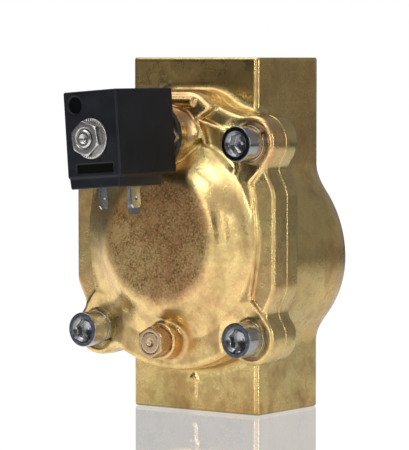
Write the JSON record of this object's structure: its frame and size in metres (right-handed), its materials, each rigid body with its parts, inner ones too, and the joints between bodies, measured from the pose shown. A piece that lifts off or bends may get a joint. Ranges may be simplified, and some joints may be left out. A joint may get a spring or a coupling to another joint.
{
  "type": "solenoid valve",
  "caption": "Pilot-operated diaphragm solenoid valve: brass body with threaded ports, bolted domed cover, bleed plug and a moulded coil that turns on its armature tube.",
  "frame": {"origin": "centre of the inlet port's end face, on the axis through both ports", "axes": "+Z along the flow from inlet to outlet, -Y towards the cover and coil, +X to the right seen from the cover"},
  "size_m": [0.114, 0.1544, 0.164],
  "materials": {
    "cast_brass": "forged, lightly tarnished",
    "machined_brass": "turned",
    "screw_steel": "stainless, machined",
    "core_steel": "turned ferritic stainless",
    "spring_steel": "drawn wire",
    "diaphragm_rubber": "fabric reinforced, matte",
    "seal_rubber": "matte",
    "gasket_fibre": "pressed fibre",
    "coil_plastic": "moulded, fine texture",
    "bobbin_plastic": "moulded",
    "winding_copper": "enamelled copper wire",
    "yoke_steel": "mild steel",
    "blade_metal": "tinned"
  },
  "bodies": {
    "valve": {"valve_body": "cast_brass", "cover": "cast_brass", "cover_screws": "screw_steel", "cover_lock_washers": "screw_steel", "diaphragm": "diaphragm_rubber", "main_spring": "spring_steel", "bleed_plug": "machined_brass", "bleed_plug_gasket": "gasket_fibre", "pilot_seat": "machined_brass", "armature_tube": "core_steel", "tube_o_ring": "seal_rubber", "tube_collar_seal": "seal_rubber", "fixed_core": "core_steel", "shading_ring": "winding_copper", "plunger_spring": "spring_steel", "coil_washer": "screw_steel", "coil_nut": "screw_steel"},
    "diaphragm_group": {"diaphragm_seat_disc": "seal_rubber", "diaphragm_support_disc": "machined_brass", "diaphragm_screw": "screw_steel", "diaphragm_nut": "screw_steel"},
    "plunger_group": {"plunger": "core_steel", "plunger_seal": "seal_rubber"},
    "coil": {"coil_housing": "coil_plastic", "coil_bobbin": "bobbin_plastic", "coil_winding": "winding_copper", "coil_yoke": "yoke_steel", "live_terminals": "blade_metal", "earth_terminal": "blade_metal"}
  },
  "joints": [
    {"name": "diaphragm_lift", "type": "slide", "parent": "valve", "child": "diaphragm_group", "axis": [0, -1, 0], "range_m": [0, 0.008], "deforming": ["main_spring", "diaphragm"]},
    {"name": "plunger_slide", "type": "slide", "parent": "valve", "child": "plunger_group", "axis": [0, -1, 0], "range_m": [0, 0.0017], "deforming": ["plunger_spring"]},
    {"name": "coil_swivel", "type": "hinge", "parent": "valve", "child": "coil", "pos_m": [0, -0.092, 0.1283], "axis": [0, -1, 0], "continuous": true}
  ]
}
